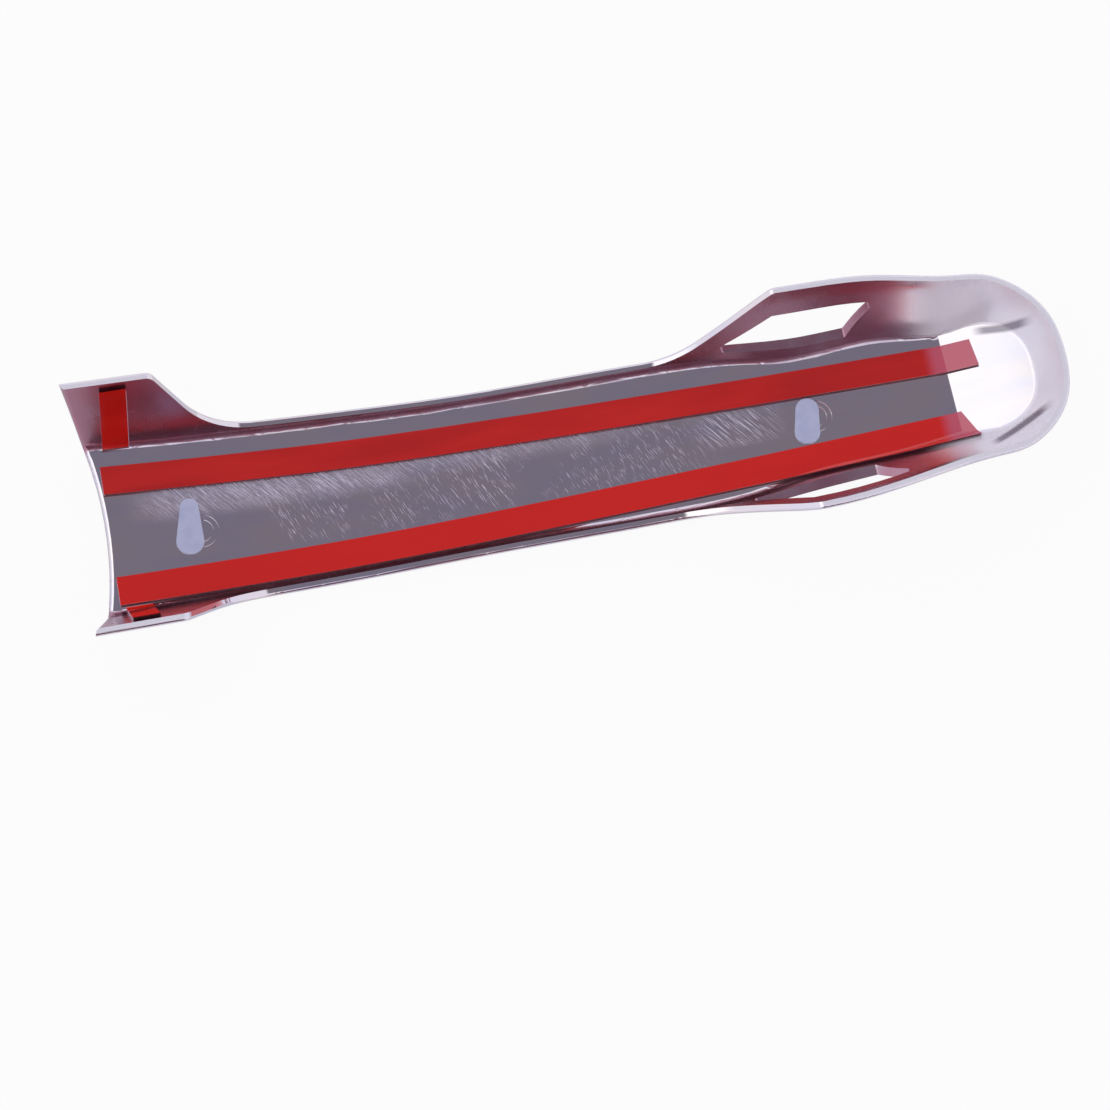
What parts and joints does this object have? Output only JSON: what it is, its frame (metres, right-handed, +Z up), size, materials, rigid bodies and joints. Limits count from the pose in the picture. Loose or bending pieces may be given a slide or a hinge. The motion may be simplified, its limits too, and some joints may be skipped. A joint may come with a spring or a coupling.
{
  "type": "car door handle cover",
  "caption": "Chrome-plated plastic cover that sticks over a car door's grab handle, with a finger gap, windowed side walls and adhesive tape on its inner face.",
  "frame": {"origin": "centre of the bounding box in plan, at the lowest point of the convex belly", "axes": "+X towards the closed rounded nose, +Z up out of the hollow, away from the visible outer face, +Y across"},
  "size_m": [0.24, 0.062, 0.0235],
  "materials": {
    "plated_shell": "bright chrome plating on moulded plastic, inside and out",
    "tape_foam": "pale acrylic foam",
    "release_film": "glossy red release film",
    "glue_dab": "milky dried glue"
  },
  "bodies": {
    "root": {"cover_shell": "plated_shell", "upper_tape_foam": "tape_foam", "lower_tape_foam": "tape_foam", "upper_ear_foam": "tape_foam", "lower_ear_foam": "tape_foam", "upper_tape_film": "release_film", "lower_tape_film": "release_film", "upper_ear_film": "release_film", "lower_ear_film": "release_film", "rear_dab": "glue_dab", "front_dab": "glue_dab"}
  },
  "joints": []
}
